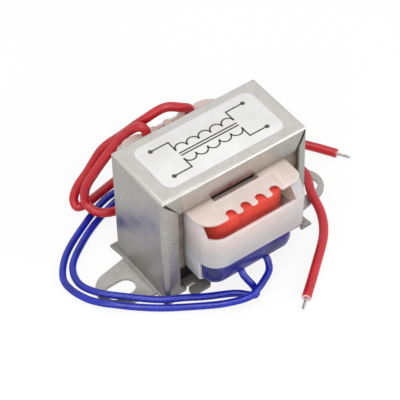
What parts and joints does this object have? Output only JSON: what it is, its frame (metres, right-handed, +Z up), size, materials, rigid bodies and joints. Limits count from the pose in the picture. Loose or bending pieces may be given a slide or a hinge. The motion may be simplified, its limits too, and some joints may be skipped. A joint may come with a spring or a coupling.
{
  "type": "laminated chassis transformer",
  "caption": "Small laminated mains transformer in a folded steel chassis bracket with two slotted feet, a covered two-section bobbin and loose red and blue wire leads.",
  "frame": {"origin": "centre of the bracket's footprint, on the face that the feet stand on", "axes": "+X from foot to foot along the bracket, +Y to the side where the red leads leave, +Z up from the mounting surface"},
  "size_m": [0.0837, 0.0662, 0.0347],
  "materials": {
    "zinc_plated_steel": "satin",
    "label_film": "satin",
    "core_steel": "matt, thinly varnished",
    "bobbin_nylon": "satin",
    "cover_nylon": "satin",
    "enamelled_copper": "glossy enamel",
    "red_tape": "satin",
    "blue_tape": "glossy",
    "red_pvc": "satin",
    "blue_pvc": "satin",
    "tinned_copper": "bright"
  },
  "bodies": {
    "root": {"bracket": "zinc_plated_steel", "label": "label_film", "e_laminations_upright": "core_steel", "e_laminations_inverted": "core_steel", "i_laminations_lower": "core_steel", "i_laminations_upper": "core_steel", "bobbin": "bobbin_nylon", "winding_cover": "cover_nylon", "primary_winding": "enamelled_copper", "primary_tape": "red_tape", "primary_splices": "tinned_copper", "secondary_winding": "enamelled_copper", "secondary_tape": "blue_tape", "secondary_splices": "tinned_copper", "red_lead_1": "red_pvc", "red_lead_2": "red_pvc", "blue_lead_1": "blue_pvc", "blue_lead_2": "blue_pvc", "red_conductor_1": "tinned_copper", "red_conductor_2": "tinned_copper", "blue_conductor_1": "tinned_copper", "blue_conductor_2": "tinned_copper"}
  },
  "joints": []
}
